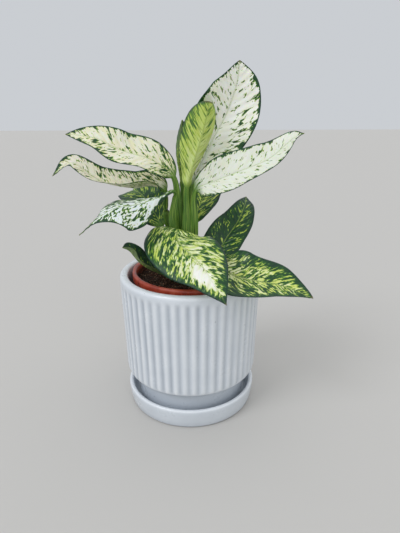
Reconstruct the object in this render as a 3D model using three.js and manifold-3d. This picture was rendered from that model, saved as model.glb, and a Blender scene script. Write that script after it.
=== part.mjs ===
// Potted Chinese evergreen: a variegated plant in a plastic growing pot,
// set in a ribbed white planter on its saucer. Millimetres, +Z up, the floor at z = 0.
import * as THREE from 'three';
import { mergeVertices } from 'three/addons/utils/BufferGeometryUtils.js';
import Module from 'manifold-3d';

const wasm = await Module();
wasm.setup();

// Driving dimensions.
const gap = 0.3; // air left between pieces that touch
const saucerRimRadius = 62;
const saucerHeight = 19.2;
const saucerFloor = 6; // thickness of the saucer's floor
const planterRimRadius = 65;
const planterCrest = 130.8; // top of the planter's rounded rim
const planterMouth = 57.4; // inner edge of the rim
const planterFootRadius = 52;
const planterFootHeight = 24; // plain foot below the ribs
const planterFloorTop = 19.3;
const planterFloorThickness = 8;
const drainRadius = 8;
const ribCount = 49;
const ribDepth = 1.1; // groove depth between two ribs
const ribStart = 36; // lower end of the ribs
const ribEnd = 122.5; // upper end of the ribs, below the plain band
const potRimRadius = 53.5;
const potRimInner = 49.6;
const potRimTop = 132.6;
const potRimBand = 9; // height of the thick band at the pot's mouth
const potBaseRadius = 37.5;
const potWall = 1.2;
const potDrainRadius = 3.5;
const potDrainCount = 5;
const soilTop = 124;
const stemRadius = 4.2;
const stemTop = 152;
const stemX = -4; // the plant stands a little off the pot's axis
const stalkRadius = 2.3;
const leafMidThickness = 0.7; // half thickness of a blade at its midrib

const colours = {
  glaze: 0xe6ecf2,
  terracotta: 0x9c4a38,
  soil: 0x2f231c,
  stem: 0x6f9a3a,
  pale: 0xdfe4c8,
  mottled: 0x8fae52,
  dark: 0x2f6138,
};
const group = new THREE.Group();

function toSolid(geometry) {
  const bare = geometry.clone();
  bare.deleteAttribute('normal');
  bare.deleteAttribute('uv');
  const merged = mergeVertices(bare, 1e-4);
  return new wasm.Manifold(new wasm.Mesh({
    numProp: 3,
    vertProperties: new Float32Array(merged.attributes.position.array),
    triVerts: new Uint32Array(merged.index.array),
  }));
}

function toGeometry(solid) {
  const mesh = solid.getMesh();
  const geometry = new THREE.BufferGeometry();
  geometry.setAttribute('position', new THREE.BufferAttribute(new Float32Array(mesh.vertProperties), 3));
  geometry.setIndex(new THREE.BufferAttribute(new Uint32Array(mesh.triVerts), 1));
  return geometry;
}

function addPiece(name, solid, colour, roughness) {
  const geometry = toGeometry(solid);
  geometry.computeVertexNormals();
  const material = new THREE.MeshStandardMaterial({ color: colour, roughness, metalness: 0 });
  const mesh = new THREE.Mesh(geometry, material);
  mesh.name = name;
  group.add(mesh);
}

// A closed surface from rings of points: each ring has the same count, and the rings
// either close on themselves (an annular body) or end in two caps.
function ringSolid(rings, closed) {
  const count = rings[0].length;
  const flat = rings.flat();
  const triangles = [];
  const ringPairs = closed ? rings.length : rings.length - 1;
  for (let i = 0; i < ringPairs; i += 1) {
    const here = i * count;
    const next = ((i + 1) % rings.length) * count;
    for (let j = 0; j < count; j += 1) {
      const side = (j + 1) % count;
      triangles.push(here + j, here + side, next + side);
      triangles.push(here + j, next + side, next + j);
    }
  }
  if (!closed) {
    for (const [ring, order] of [[0, -1], [rings.length - 1, 1]]) {
      const centre = new THREE.Vector3();
      rings[ring].forEach((point) => centre.add(point));
      flat.push(centre.divideScalar(count));
      for (let j = 0; j < count; j += 1) {
        const a = ring * count + j;
        const b = ring * count + ((j + 1) % count);
        if (order > 0) triangles.push(flat.length - 1, a, b);
        else triangles.push(flat.length - 1, b, a);
      }
    }
  }
  return new wasm.Manifold(new wasm.Mesh({
    numProp: 3,
    vertProperties: new Float32Array(flat.flatMap((point) => [point.x, point.y, point.z])),
    triVerts: new Uint32Array(triangles),
  }));
}

// A ring of points round the Z axis; the radius may change with the angle.
function circle(radius, z, count) {
  return Array.from({ length: count }, (unused, j) => {
    const angle = (2 * Math.PI * j) / count;
    const r = typeof radius === 'function' ? radius(j, angle) : radius;
    return new THREE.Vector3(r * Math.cos(angle), r * Math.sin(angle), z);
  });
}

// A turned body whose profile runs outward along the bottom, up the outside and back inside.
function turned(profile, count) {
  return toSolid(new THREE.LatheGeometry(
    profile.map(([r, z]) => new THREE.Vector2(r, z)),
    count,
  ).rotateX(Math.PI / 2));
}

// Saucer: a shallow dish with a low rounded wall.
const saucer = turned([
  [0, 0],
  [57.5, 0],
  [59.6, 1.8],
  [61.5, 11],
  [saucerRimRadius, saucerHeight - 2],
  [saucerRimRadius - 1.6, saucerHeight],
  [saucerRimRadius - 3.4, saucerHeight - 0.4],
  [saucerRimRadius - 4.4, saucerHeight - 2.4],
  [56.2, 10],
  [54.6, saucerFloor + 0.8],
  [52, saucerFloor],
  [0, saucerFloor],
], 52);
addPiece('saucer', saucer, colours.glaze, 0.2);

// Planter: upright ribs between a plain foot and a plain rounded rim.
// Three columns of points a rib: one in the groove, two on the shoulders of the rib.
const columns = ribCount * 3;
function ribbed(radius, share) {
  return (j) => radius - (j % 3 === 0 ? ribDepth * share : 0);
}
const wallRadius = (z) => 62.4 + (z - 40) * 0.031; // the ribbed wall widens upward
const footBottom = saucerFloor + gap;
const planterRings = [
  circle(planterFootRadius, footBottom, columns),
  circle(planterFootRadius, planterFootHeight, columns),
  circle(55.5, 29.5, columns),
  circle(ribbed(59.8, 0.3), 33, columns),
  circle(ribbed(wallRadius(ribStart) - 0.4, 0.8), 38, columns),
  circle(ribbed(wallRadius(46), 1), 46, columns),
  circle(ribbed(wallRadius(118), 1), 118, columns),
  circle(wallRadius(ribEnd), ribEnd, columns),
  circle(planterRimRadius, planterCrest - 3.4, columns),
  circle(planterRimRadius - 2.4, planterCrest - 0.5, columns),
  circle(planterMouth + 2.4, planterCrest, columns),
  circle(planterMouth, planterCrest - 1.6, columns),
  circle(55, 40, columns),
  circle(44, planterFloorTop, columns),
  circle(drainRadius, planterFloorTop, columns),
  circle(drainRadius, planterFloorTop - planterFloorThickness, columns),
  circle(44.5, planterFloorTop - planterFloorThickness, columns),
  circle(46.5, footBottom, columns),
];
addPiece('planter', ringSolid(planterRings, true), colours.glaze, 0.2);

// Growing pot: thin tapered plastic with a thick band at the mouth and drain holes below.
const potBottom = planterFloorTop + gap;
const potBandBottom = potRimTop - potRimBand;
const potShell = turned([
  [0, potBottom],
  [potBaseRadius, potBottom],
  [potRimInner + 0.9, potBandBottom - 1],
  [potRimRadius - 0.5, potBandBottom],
  [potRimRadius, potBandBottom + 1],
  [potRimRadius, potRimTop - 1.2],
  [potRimRadius - 1.2, potRimTop],
  [potRimInner + 1.1, potRimTop],
  [potRimInner, potRimTop - 1.1],
  [potRimInner - 0.4, potBandBottom],
  [potBaseRadius - potWall, potBottom + potWall],
  [0, potBottom + potWall],
], 44);
let pot = potShell;
for (let i = 0; i < potDrainCount; i += 1) {
  const angle = (2 * Math.PI * i) / potDrainCount;
  const drill = new THREE.CylinderGeometry(potDrainRadius, potDrainRadius, 6, 12).rotateX(Math.PI / 2);
  drill.translate(24 * Math.cos(angle), 24 * Math.sin(angle), potBottom);
  pot = pot.subtract(toSolid(drill));
}
addPiece('growing_pot', pot, colours.terracotta, 0.35);

// Soil: fills the growing pot to a little below its rim, slightly domed.
const soilBottom = potBottom + potWall + gap;
const soil = turned([
  [0, soilBottom],
  [potBaseRadius - potWall - 0.5, soilBottom],
  [potRimInner - 0.9, potBandBottom - 0.2],
  [potRimInner - 0.7, soilTop - 1],
  [40, soilTop],
  [20, soilTop],
  [0, soilTop],
], 40);
addPiece('soil', soil, colours.soil, 0.95);

// Stem: the short cane in the middle of the leaf stalks.
const stemRings = [
  circle(stemRadius + 0.5, soilTop + gap, 10),
  circle(stemRadius, 132, 10),
  circle(stemRadius - 0.4, 142, 10),
  circle(stemRadius - 1.6, stemTop, 10),
].map((ring) => ring.map((point) => point.add(new THREE.Vector3(stemX, 0, 0))));
addPiece('stem', ringSolid(stemRings, false), colours.stem, 0.5);

// The leaves. Each has a spine (stalk, then midrib), the index where the blade starts,
// the way the blade faces along its length, its full width, the exponents of its outline,
// and per half (left, right) the angle it folds up from the midrib and the arc it cups
// through, in degrees, with the twist along the blade.
const leafPlans = [
  {
    name: 'leaf_top',
    spine: [[2, 5, 126], [2, 5, 150], [1, 6, 178], [2, 6, 207],
      [16, 7, 238], [31, 4, 266], [39, -1, 289], [41, -5, 307]],
    neck: 3,
    face: [[0.25, -1, 0.15]],
    width: 54,
    shape: [0.78, 0.87],
    fold: [[16, 8], [16, 8]],
    cup: [[20, 8], [20, 8]],
    twist: [3, 8, -2],
    tone: 'pale',
  },
  {
    name: 'leaf_unfurling',
    spine: [[-3, -8, 126], [-3, -8, 150], [-2, -7, 178], [-2, -6, 207],
      [4, -9, 230], [11, -13, 252], [17, -17, 277]],
    neck: 3,
    face: [[-0.3, 0.9, 0.2]],
    width: 38,
    shape: [0.9, 0.56],
    fold: [[15, 10], [15, 10]],
    cup: [[75, 50], [75, 50]],
    twist: [0, 0, 0],
    tone: 'mottled',
  },
  {
    name: 'leaf_rolled',
    spine: [[-4, 8, 126], [-4, 8, 150], [-5, 7, 178], [-6, 6, 206],
      [-9, 4, 235], [-5, 2, 263]],
    neck: 3,
    face: [[0.5, 0.9, 0.1]],
    width: 26,
    shape: [0.9, 0.9],
    fold: [[30, 20], [30, 20]],
    cup: [[90, 50], [90, 50]],
    twist: [0, 0, 0],
    tone: 'mottled',
  },
  {
    name: 'leaf_right_long',
    spine: [[3, -4, 126], [3, -4, 150], [4, -6, 180], [6, -7, 205], [22, -16, 215],
      [42, -22, 224], [64, -27, 234], [81, -29, 249], [89, -33, 254]],
    neck: 3,
    face: [[-0.35, -0.75, 0.6]],
    width: 35,
    shape: [0.64, 1.2],
    fold: [[18, 14], [18, 14]],
    cup: [[15, 10], [15, 10]],
    twist: [-17, -1, 17],
    tone: 'pale',
  },
  {
    name: 'leaf_left_upper',
    spine: [[-9, 1, 126], [-9, 0, 155], [-10, -3, 190], [-13, -6, 217],
      [-30, -12, 232], [-53, -18, 240], [-74, -20, 250], [-97, -20, 253]],
    neck: 3,
    face: [[-0.1, -0.75, 0.6]],
    width: 34,
    shape: [0.66, 0.97],
    fold: [[10, 8], [10, 8]],
    cup: [[20, 10], [20, 10]],
    twist: [1, -9, 0],
    tone: 'pale',
  },
  {
    name: 'leaf_left_folded',
    spine: [[-12, 7, 126], [-13, 6, 150], [-21, 4, 182], [-21, 2, 204], [-33, 4, 209],
      [-51, 5, 207], [-77, 3, 213], [-100, 1, 228], [-117, -3, 218]],
    neck: 3,
    face: [[0, -0.1, 1], [-0.1, -0.5, 0.8], [-0.4, -0.9, 0.3]],
    width: 28,
    shape: [0.6, 0.96],
    fold: [[45, 20], [45, 20]],
    cup: [[30, 10], [30, 10]],
    twist: [24, -8, -13],
    tone: 'pale',
  },
  {
    name: 'leaf_left_drooping',
    spine: [[-9, -6, 126], [-10, -7, 150], [-14, -9, 180], [-12, -12, 205], [-25, -24, 203],
      [-41, -36, 200], [-57, -45, 199], [-70, -53, 192], [-83, -59, 181]],
    neck: 3,
    face: [[0.1, -0.4, 1], [0.15, -0.3, 1], [-0.5, -0.7, 0.6]],
    width: 42,
    shape: [4, 3.8],
    tail: 2.6,
    fold: [[-22, -8], [-8, -5]],
    cup: [[-62, -20], [-30, -10]],
    twist: [-6, 0, -40],
    tone: 'pale',
  },
  {
    name: 'leaf_front_cascading',
    spine: [[-7, -13, 125], [-8, -14, 150], [-10, -17, 173], [-9, -34, 168],
      [8, -55, 157], [19, -71, 147], [29, -85, 134]],
    neck: 2,
    face: [[0, -0.7, 1], [0.1, -0.9, 0.5]],
    width: 58,
    shape: [0.45, 1.1],
    fold: [[8, 12], [8, 12]],
    cup: [[-40, -25], [-40, -25]],
    twist: [6, 5, 7],
    tone: 'mottled',
  },
  {
    name: 'leaf_back_left',
    spine: [[-17, 3, 126], [-19, 5, 148], [-26, 9, 170],
      [-34, 14, 184], [-44, 23, 196], [-54, 35, 199], [-60, 47, 191]],
    neck: 2,
    face: [[-0.2, -0.8, 0.6], [-0.5, 0, 0.9], [-0.8, 0.5, 0.4]],
    width: 40,
    shape: [0.6, 0.6],
    fold: [[10, 8], [10, 8]],
    cup: [[20, 10], [20, 10]],
    twist: [0, 0, 0],
    tone: 'dark',
  },
  {
    name: 'leaf_right_dark',
    spine: [[9, 2, 126], [14, 3, 140], [25, 5, 146], [35, 12, 159],
      [45, 19, 172], [52, 31, 184], [55, 47, 190]],
    neck: 1,
    face: [[-0.5, -0.6, 0.7], [0, -0.5, 0.9], [0.4, 0.2, 0.9]],
    width: 39,
    shape: [0.5, 1],
    fold: [[10, 8], [10, 8]],
    cup: [[20, 10], [20, 10]],
    twist: [-16, -4, 4],
    tone: 'dark',
  },
  {
    name: 'leaf_right_low',
    spine: [[10, -11, 125], [14, -14, 137], [25, -26, 140], [45, -39, 137],
      [75, -47, 134], [101, -57, 127]],
    neck: 1,
    face: [[0.1, -0.48, 0.88]],
    width: 51,
    shape: [0.62, 0.81],
    fold: [[8, 8], [8, 8]],
    cup: [[15, 15], [15, 15]],
    twist: [4, -6, 14],
    tone: 'mottled',
  },
  {
    name: 'leaf_left_small',
    spine: [[-12, -8, 125], [-19, -12, 129], [-40, -22, 144], [-50, -27, 158], [-56, -30, 162]],
    neck: 1,
    face: [[-0.2, -0.3, 1], [-0.3, -0.3, 1]],
    width: 19,
    shape: [0.61, 0.78],
    fold: [[35, 30], [35, 30]],
    cup: [[20, 10], [20, 10]],
    twist: [12, 4, -6],
    tone: 'dark',
  },
  {
    name: 'leaf_back_right',
    spine: [[3, 11, 126], [3, 11, 150], [4, 14, 172], [9, 24, 186], [19, 36, 198], [32, 50, 203]],
    neck: 2,
    face: [[-0.2, -0.9, 0.5], [-0.2, -0.3, 1]],
    width: 36,
    shape: [0.75, 0.9],
    fold: [[10, 8], [10, 8]],
    cup: [[20, 10], [20, 10]],
    twist: [0, 0, 0],
    tone: 'dark',
  },
];

// The value at t (0 to 1) along evenly spaced stops.
function along(stops, t) {
  const x = t * (stops.length - 1);
  const i = Math.min(Math.floor(x), Math.max(stops.length - 2, 0));
  const next = stops[Math.min(i + 1, stops.length - 1)];
  return stops[i] + (next - stops[i]) * (x - i);
}

const stations = [-1, -0.55, 0, 0.55, 1]; // from one margin to the other
const bladeSteps = 13;
const stalkSteps = 7;

// One leaf as a loft of flat loops: round at the stalk, a thin lens across the blade.
// `grow` swells it, to cut clearance in a neighbour.
function leafSolid(plan, grow) {
  const points = plan.spine.map((point) => new THREE.Vector3(...point));
  const curve = new THREE.CatmullRomCurve3(points, false, 'catmullrom', 0.5);
  const neck = plan.neck / (points.length - 1);
  const [p, q] = plan.shape;
  const peak = p / (p + q);
  const steps = [];
  for (let i = 0; i < stalkSteps; i += 1) steps.push((neck * i) / stalkSteps);
  for (let i = 0; i <= bladeSteps; i += 1) steps.push(neck + ((1 - neck) * i) / bladeSteps);
  const rings = steps.map((u) => {
    const t = Math.max(0, (u - neck) / (1 - neck));
    const centre = curve.getPoint(u);
    const before = curve.getPoint(Math.max(0, u - 1e-3));
    const ahead = curve.getPoint(Math.min(1, u + 1e-3));
    const tangent = ahead.sub(before).normalize();
    const normal = new THREE.Vector3(
      along(plan.face.map((f) => f[0]), t),
      along(plan.face.map((f) => f[1]), t),
      along(plan.face.map((f) => f[2]), t),
    );
    normal.addScaledVector(tangent, -normal.dot(tangent)).normalize();
    normal.applyAxisAngle(tangent, THREE.MathUtils.degToRad(-along(plan.twist, t)));
    const side = new THREE.Vector3().crossVectors(tangent, normal);
    // Half width: the stalk's radius, then the outline t^p (1 - t)^q scaled to its peak.
    const outline = (t ** p * (1 - t) ** q) / (peak ** p * (1 - peak) ** q);
    const stalk = stalkRadius * (1.1 - 0.3 * Math.min(1, u / neck));
    // A tailed blade keeps a narrow strip on to its tip.
    const tail = (plan.tail ?? 0) * Math.min(1, 3 * t) * Math.sqrt(1 - t);
    const sheet = (plan.width / 2) * outline + tail;
    const half = Math.max(stalk * Math.max(0.25, 1 - 3 * t), sheet) + 2 * grow;
    const thick = leafMidThickness + (stalk - leafMidThickness) * Math.max(0, 1 - 4 * t) + grow;
    const blade = Math.min(1, t * 6);
    const spot = (s, lift) => {
      const half01 = s < 0 ? 0 : 1;
      const fold = THREE.MathUtils.degToRad(along(plan.fold[half01], t)) * blade;
      const arc = THREE.MathUtils.degToRad(along(plan.cup[half01], t)) * blade || 1e-3;
      const reach = Math.abs(s);
      const x = (half / arc) * (Math.sin(fold + arc * reach) - Math.sin(fold));
      const z = (half / arc) * (Math.cos(fold) - Math.cos(fold + arc * reach));
      return centre.clone()
        .addScaledVector(side, Math.sign(s) * x)
        .addScaledVector(normal, z + lift * thick * Math.sqrt(1 - s * s));
    };
    const top = stations.map((s) => spot(s, 1));
    const under = stations.slice(1, -1).reverse().map((s) => spot(s, -1));
    return [...top, ...under];
  });
  return ringSolid(rings, false);
}

function largestBody(solid) {
  return solid.decompose().sort((a, b) => b.volume() - a.volume())[0];
}

// Each leaf gives way to the pieces already placed, with a little air between.
const placed = [saucer, ringSolid(planterRings, true), potShell, soil, ringSolid(stemRings, false)];
let taken = placed.reduce((sum, solid) => sum.add(solid));
for (const plan of leafPlans) {
  const whole = leafSolid(plan, 0);
  const kept = largestBody(whole.subtract(taken));
  addPiece(plan.name, kept, colours[plan.tone], 0.4);
  taken = taken.add(kept).add(leafSolid(plan, gap));
}

export default group;
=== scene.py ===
import math
import bpy
import numpy as np
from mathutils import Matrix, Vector


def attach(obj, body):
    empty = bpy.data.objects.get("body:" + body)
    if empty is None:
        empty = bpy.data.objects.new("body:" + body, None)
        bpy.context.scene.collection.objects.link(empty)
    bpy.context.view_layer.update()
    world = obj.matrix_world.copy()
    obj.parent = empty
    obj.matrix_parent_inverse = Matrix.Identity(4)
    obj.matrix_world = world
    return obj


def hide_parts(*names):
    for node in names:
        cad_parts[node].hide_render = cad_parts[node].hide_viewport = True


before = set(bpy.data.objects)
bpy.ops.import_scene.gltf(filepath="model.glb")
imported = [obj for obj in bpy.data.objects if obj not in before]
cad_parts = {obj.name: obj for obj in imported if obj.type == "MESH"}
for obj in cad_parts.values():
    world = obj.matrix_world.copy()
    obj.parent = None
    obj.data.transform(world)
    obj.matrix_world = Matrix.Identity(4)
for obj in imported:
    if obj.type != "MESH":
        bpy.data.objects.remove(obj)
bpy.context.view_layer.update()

mm = 0.001                         # every shape below is worked out in millimetres


def hexColour(code):               # sRGB hex to the linear colour that a shader takes
    part = np.array([int(code[i:i + 2], 16) for i in (1, 3, 5)]) / 255
    linear = np.where(part <= 0.04045, part / 12.92, ((part + 0.055) / 1.055) ** 2.4)
    return (*[float(x) for x in linear], 1.0)


def addNode(tree, kind, sockets=None, stops=None, **settings):
    # one node with its settings; a socket takes a value or another node's output
    node = tree.nodes.new("ShaderNode" + kind)
    for key, value in settings.items():
        setattr(node, key, value)
    for key, value in (sockets or {}).items():
        if isinstance(value, bpy.types.NodeSocket):
            tree.links.new(value, node.inputs[key])
        else:
            node.inputs[key].default_value = value
    if stops:
        ramp = node.color_ramp
        while len(ramp.elements) < len(stops):
            ramp.elements.new(1.0)
        for element, (place, colour) in zip(ramp.elements, stops):
            element.position = place
            element.color = colour
    return node


def newMaterial(name):
    material = bpy.data.materials.new(name)
    material.use_nodes = True
    tree = material.node_tree
    tree.nodes.clear()
    return material, tree


def smoothStep(x):
    x = np.clip(x, 0, 1)
    return x * x * (3 - 2 * x)


def catmull(points, u):
    # a uniform Catmull-Rom curve through the points, its ends carried straight on; u runs 0 to 1
    p = np.asarray(points, float)
    n = len(p) - 1
    ext = np.vstack([2 * p[0] - p[1], p, 2 * p[-1] - p[-2]])
    x = np.clip(np.asarray(u, float) * n, 0, n)
    i = np.minimum(x.astype(int), n - 1)
    w = (x - i)[:, None]
    p0, p1, p2, p3 = ext[i], ext[i + 1], ext[i + 2], ext[i + 3]
    a, b = (p2 - p0) / 2, (p3 - p1) / 2
    return p1 + a * w + (-3 * p1 + 3 * p2 - 2 * a - b) * w ** 2 + (2 * p1 - 2 * p2 + a + b) * w ** 3


def roundedProfile(points, rounds=3):
    # corner cutting: each corner gives way to two points a quarter along its sides; ends stay
    p = np.asarray(points, float)
    for _ in range(rounds):
        a, b = p[:-1], p[1:]
        cut = np.stack([a * 0.75 + b * 0.25, a * 0.25 + b * 0.75], 1).reshape(-1, 2)
        p = np.vstack([p[:1], cut[1:-1], p[-1:]])
    return p


def evenly(points, step):
    # the same line with points a step apart
    p = np.asarray(points, float)
    run = np.r_[0, np.cumsum(np.linalg.norm(np.diff(p, axis=0), axis=1))]
    at = np.linspace(0, run[-1], max(2, int(run[-1] / step) + 1))
    return np.stack([np.interp(at, run, p[:, k]) for k in range(p.shape[1])], 1)


def makeMesh(name, points, faces, material, attributes=None, flat=False):
    # points in millimetres; faces is a list of index arrays, each of triangles or quads
    mesh = bpy.data.meshes.new(name)
    points = np.asarray(points, float).reshape(-1, 3) * mm
    loops = np.concatenate([np.asarray(f).ravel() for f in faces]).astype(np.int32)
    sizes = np.concatenate([np.full(len(f), np.asarray(f).shape[1]) for f in faces])
    mesh.vertices.add(len(points))
    mesh.vertices.foreach_set("co", points.ravel().astype(np.float32))
    mesh.loops.add(len(loops))
    mesh.loops.foreach_set("vertex_index", loops)
    mesh.polygons.add(len(sizes))
    starts = np.r_[0, np.cumsum(sizes)[:-1]].astype(np.int32)
    mesh.polygons.foreach_set("loop_start", starts)
    mesh.polygons.foreach_set("use_smooth", np.full(len(sizes), not flat))
    mesh.update(calc_edges=True)
    for key, values in (attributes or {}).items():
        values = np.asarray(values, np.float32)
        if values.ndim > 1:
            layer = mesh.attributes.new(key, "FLOAT_VECTOR", "POINT")
            layer.data.foreach_set("vector", values.reshape(-1))
        else:
            layer = mesh.attributes.new(key, "FLOAT", "POINT")
            layer.data.foreach_set("value", values)
    mesh.validate()
    thing = bpy.data.objects.new(name, mesh)
    bpy.context.scene.collection.objects.link(thing)
    mesh.materials.append(material)
    return thing


def gridQuads(rows, columns, closeRows=False):
    # quads of a grid of points whose columns close on themselves
    i = np.arange(rows if closeRows else rows - 1)[:, None]
    j = np.arange(columns)[None]
    k = (j + 1) % columns
    n = (i + 1) % rows
    quad = np.stack([i * columns + j + 0 * k, i * columns + k, n * columns + k, n * columns + j], -1)
    return quad.reshape(-1, 4)


def fan(centre, ring, flip=False):
    a, b = ring, np.roll(ring, -1)
    c = np.full(len(ring), centre)
    return np.stack([c, b, a] if flip else [c, a, b], 1)


def turnedPiece(name, profile, count, material, shape=None, attributes=None):
    # a profile (r, z) turned round the Z axis; it runs outward below, up the outside and back inside.
    # Ends on the axis close in a point, otherwise the profile closes on itself.
    profile = np.asarray(profile, float)
    angle = np.linspace(0, 2 * np.pi, count, endpoint=False)
    onAxis = profile[0, 0] < 1e-6
    body = profile[1:-1] if onAxis else profile
    r, z = body[:, :1] + 0 * angle, body[:, 1:] + 0 * angle
    extra = {}
    if shape:
        r, z, extra = shape(r, z, angle[None] + 0 * r)
    points = np.stack([r * np.cos(angle), r * np.sin(angle), z], -1).reshape(-1, 3)
    faces = [gridQuads(len(body), count, not onAxis)]
    if onAxis:
        ends = np.array([[0, 0, profile[0, 1]], [0, 0, profile[-1, 1]]])
        n = len(points)
        points = np.vstack([points, ends])
        faces.append(fan(n, np.arange(count), flip=True))
        faces.append(fan(n + 1, np.arange(n - count, n)))
        extra = {k: np.r_[v.ravel(), 0, 0] for k, v in extra.items()}
    else:
        extra = {k: v.ravel() for k, v in extra.items()}
    return makeMesh(name, points, faces, material, extra)


# Slip-cast stoneware under a milky white glaze: glossy but soft, a cool white, thin and brighter on ribs and
# lips, greyer and bluer in the grooves where the glaze pools and shade is painted in, with painted shade on
# the foot and low on the saucer, faint clouds and a few pinholes.
glazeLook = {
    "thin": "#e6eaee",
    "body": "#d3d9df",
    # colour of pooled glaze, also used as painted shade in the grooves, on the planter's foot and low on the
    # saucer
    "pooledAndShaded": "#adb5be",
    "pinhole": "#5d6268",
    "cloudSize": 17.0,             # mm across a cloud in the glaze
    "pinholeGap": 16.0,            # mm between pinholes
    "roughness": 0.3,
}


def glazeMaterial(look):
    material, tree = newMaterial("milkyWhiteGlaze")
    place = addNode(tree, "TexCoord").outputs["Object"]
    # this darkening is partly pooled glaze and partly painted shade: grooves, the planter's recessed foot and
    # the saucer's low part are painted darker
    poolAndShade = addNode(tree, "Attribute", attribute_name="poolAndShade").outputs["Fac"]
    cloud = addNode(tree, "TexNoise", {"Vector": place, "Scale": 1 / (look["cloudSize"] * mm), "Detail": 3.0,
                                       "Roughness": 0.55}).outputs["Fac"]
    cloudy = addNode(tree, "MapRange", {"Value": cloud, "From Min": 0.3, "From Max": 0.7, "To Min": -0.07,
                                        "To Max": 0.07}).outputs[0]
    depth = addNode(tree, "Math", {0: poolAndShade, 1: cloudy}, operation="ADD", use_clamp=True).outputs[0]
    tint = addNode(tree, "ValToRGB", {"Fac": depth}, stops=[
        (0.0, hexColour(look["thin"])), (0.3, hexColour(look["body"])), (1.0, hexColour(look["pooledAndShaded"]))])
    dots = addNode(tree, "TexVoronoi", {"Vector": place, "Scale": 1 / (look["pinholeGap"] * mm)},
                   feature="F1")
    pit = addNode(tree, "MapRange", {"Value": dots.outputs["Distance"], "From Min": 0.02, "From Max": 0.035,
                                     "To Min": 0.75, "To Max": 0.0}).outputs[0]
    skin = addNode(tree, "Mix", {0: pit, 6: tint.outputs["Color"], 7: hexColour(look["pinhole"])},
                   data_type="RGBA").outputs[2]
    ripple = addNode(tree, "TexNoise", {"Vector": place, "Scale": 1 / (5.0 * mm),
                                        "Detail": 2.0}).outputs["Fac"]
    bump = addNode(tree, "Bump", {"Height": ripple, "Strength": 0.12, "Distance": 0.4 * mm}).outputs[0]
    rough = addNode(tree, "MapRange", {"Value": cloud, "From Min": 0.3, "From Max": 0.7,
                                       "To Min": look["roughness"] - 0.05,
                                       "To Max": look["roughness"] + 0.07})
    shader = addNode(tree, "BsdfPrincipled", {"Base Color": skin, "Roughness": rough.outputs[0], "IOR": 1.52,
                                              "Coat Weight": 0.35, "Coat Roughness": 0.12, "Normal": bump})
    addNode(tree, "OutputMaterial", {"Surface": shader.outputs[0]})
    return material


glaze = glazeMaterial(glazeLook)

saucerSize = {
    "profile": [(0, 0.8), (50, 0.8), (52.5, 0.8), (53.5, 0), (57.4, 0), (59.6, 0.6), (60.2, 3), (61.2, 9),
                (61.9, 14.5), (62.0, 17.3), (61.6, 18.9), (60.2, 19.25), (58.7, 19.0), (57.8, 17.6),
                (57.3, 14.5), (56.3, 10), (55.2, 7.2), (53.2, 6.0), (50, 6.0), (30, 6.0), (0, 6.0)],
    "around": 240,
}


def saucerShape(r, z, angle):
    # thrown ware is never quite round: the wall leans out by 0.2 mm over two lobes
    share = np.clip((r - 40) / 20, 0, 1)
    r = r + 0.18 * share * np.sin(2 * angle + 0.7) * np.clip(z / 19, 0, 1) - 0.18 * share
    lip = np.clip(1 - np.abs(z - 18.9) / 2.2, 0, 1)
    low = np.clip(1 - z / 7.5, 0, 1)
    # glaze painted darker towards the bottom, painted shade near the floor and under the planter; lighter at
    # the lip where the glaze runs thin
    return r, z, {"poolAndShade": np.clip(0.34 - 0.34 * lip + 0.3 * low, 0, 1)}


saucer = turnedPiece("saucer_glazed", evenly(roundedProfile(saucerSize["profile"]), 1.0),
                     saucerSize["around"], glaze, saucerShape)
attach(saucer, "root")
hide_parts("saucer")
print("saucer made")

planterSize = {
    "ribs": 49,
    "ribDepth": 1.3,               # mm from rib crest to groove
    "ribTurn": -0.035,               # radians the first groove is turned
    "ribLow": 34.5,
    "ribHigh": 126.0,
    "around": 49 * 10,
    "outer": [(47, 6.3), (51.2, 6.3), (52.0, 7.4), (52.0, 12), (52.1, 27.5), (52.9, 31.0), (56.4, 33.0),
              (60.6, 34.6), (62.4, 37.4), (62.7, 42), (62.9, 55), (63.6, 80), (64.6, 112), (64.95, 123),
              (65.0, 126.6), (64.7, 129.3), (63.2, 130.7), (61.4, 130.9), (59.2, 130.75), (57.8, 129.9),
              (57.4, 128.4), (57.2, 124), (56.4, 90), (55, 45), (52.8, 30), (48, 21.5), (43, 19.3),
              (12, 19.3), (8.6, 19.2), (8.0, 18.4), (8.0, 12.2), (8.8, 11.3), (14, 11.3), (43, 11.3),
              (45.8, 10.5), (46.3, 8)],
}


def planterShape(r, z, angle):
    # ribs on the outside: across one rib the wall follows cos(pi x)^1.24 from groove to groove,
    # fading out over a few millimetres at either end
    size = planterSize
    outside = (r > 58.5) & (z > 30)
    x = (size["ribs"] * (angle - size["ribTurn"]) / (2 * np.pi)) % 1 - 0.5
    crest = np.clip(np.cos(np.pi * x) ** 2, 0, 1) ** 0.62
    wander = 1 + 0.12 * np.sin(7 * angle + z * 0.05) + 0.08 * np.sin(17 * angle + 1.3)
    wander = wander - 0.45 * np.clip(np.cos(angle + 0.45), 0, 1) ** 2   # the glaze lies thicker on this side
    share = smoothStep((z - size["ribLow"]) / 4.0) * smoothStep((size["ribHigh"] - z) / 6.5)
    share = share * outside * wander
    r = r - size["ribDepth"] * share * (1 - crest)
    r = r - 0.12 - 0.12 * np.sin(2 * angle + 2.1) * (z / 130)
    lip = np.clip(1 - np.abs(z - 130.6) / 3.0, 0, 1)
    foot = np.clip((36 - z) / 4, 0, 1) * (r < 56)
    # glaze painted darker in the grooves, partly pooled glaze and partly painted shade, and darker still on
    # the recessed foot, painted shade; lighter on crests and lip where the glaze runs thin
    poolAndShade = 0.26 + 0.62 * share * (1 - crest) - 0.3 * share * crest * 0.7 - 0.3 * lip + 0.4 * foot
    return r, z, {"poolAndShade": np.clip(poolAndShade, 0, 1)}


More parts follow.
